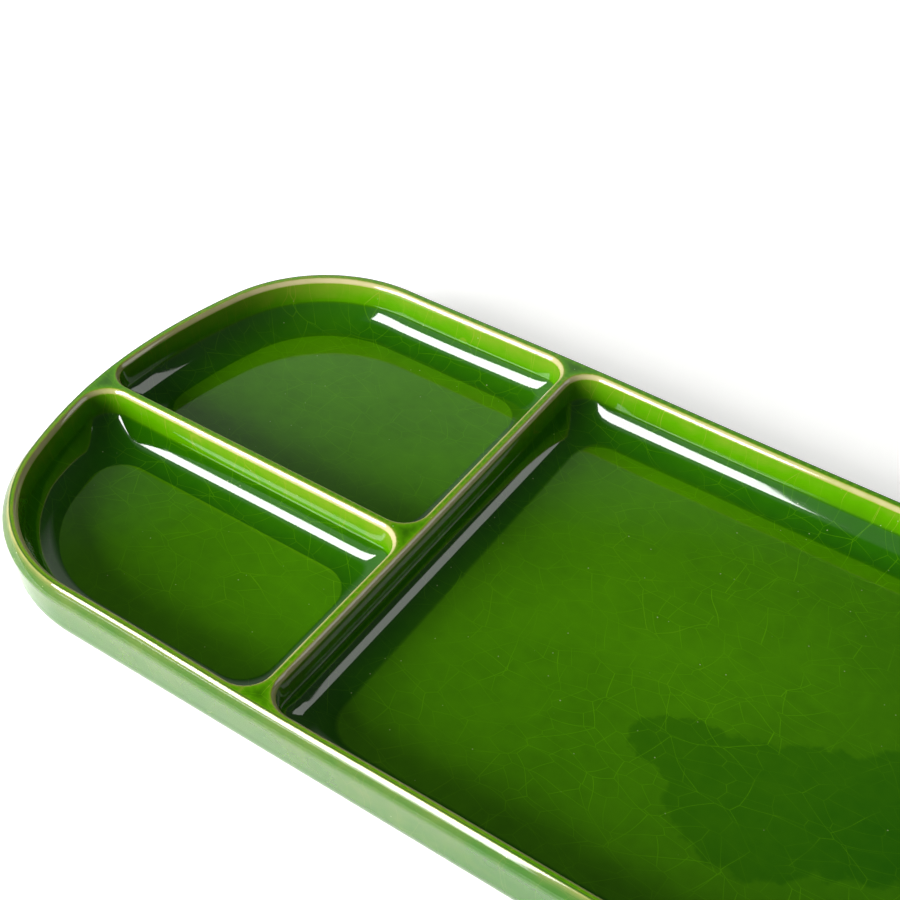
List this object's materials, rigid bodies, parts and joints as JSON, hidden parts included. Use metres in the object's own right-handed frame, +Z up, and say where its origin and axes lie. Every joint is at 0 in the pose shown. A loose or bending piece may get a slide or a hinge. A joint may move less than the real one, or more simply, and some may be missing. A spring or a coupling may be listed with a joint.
{
  "type": "olive dish",
  "caption": "Long low glazed earthenware dish with rounded ends, one large shallow well and small wells at one end for olives, stones and dips.",
  "frame": {"origin": "on the table under the middle of the dish", "axes": "+X along the length away from the small wells, +Y across towards the larger small well, +Z up"},
  "size_m": [0.3, 0.14, 0.02],
  "materials": {
    "clay": "unglazed cream earthenware, matt",
    "glaze": "glossy translucent green crackle glaze"
  },
  "bodies": {
    "root": {"outer_wall": "clay", "cross_divider": "clay", "end_divider": "clay", "large_well_floor": "clay", "back_well_floor": "clay", "front_well_floor": "clay", "foot_ring": "clay", "large_well_glaze": "glaze", "back_well_glaze": "glaze", "front_well_glaze": "glaze", "rim_glaze": "glaze", "outside_glaze": "glaze", "underside_glaze": "glaze"}
  },
  "joints": []
}
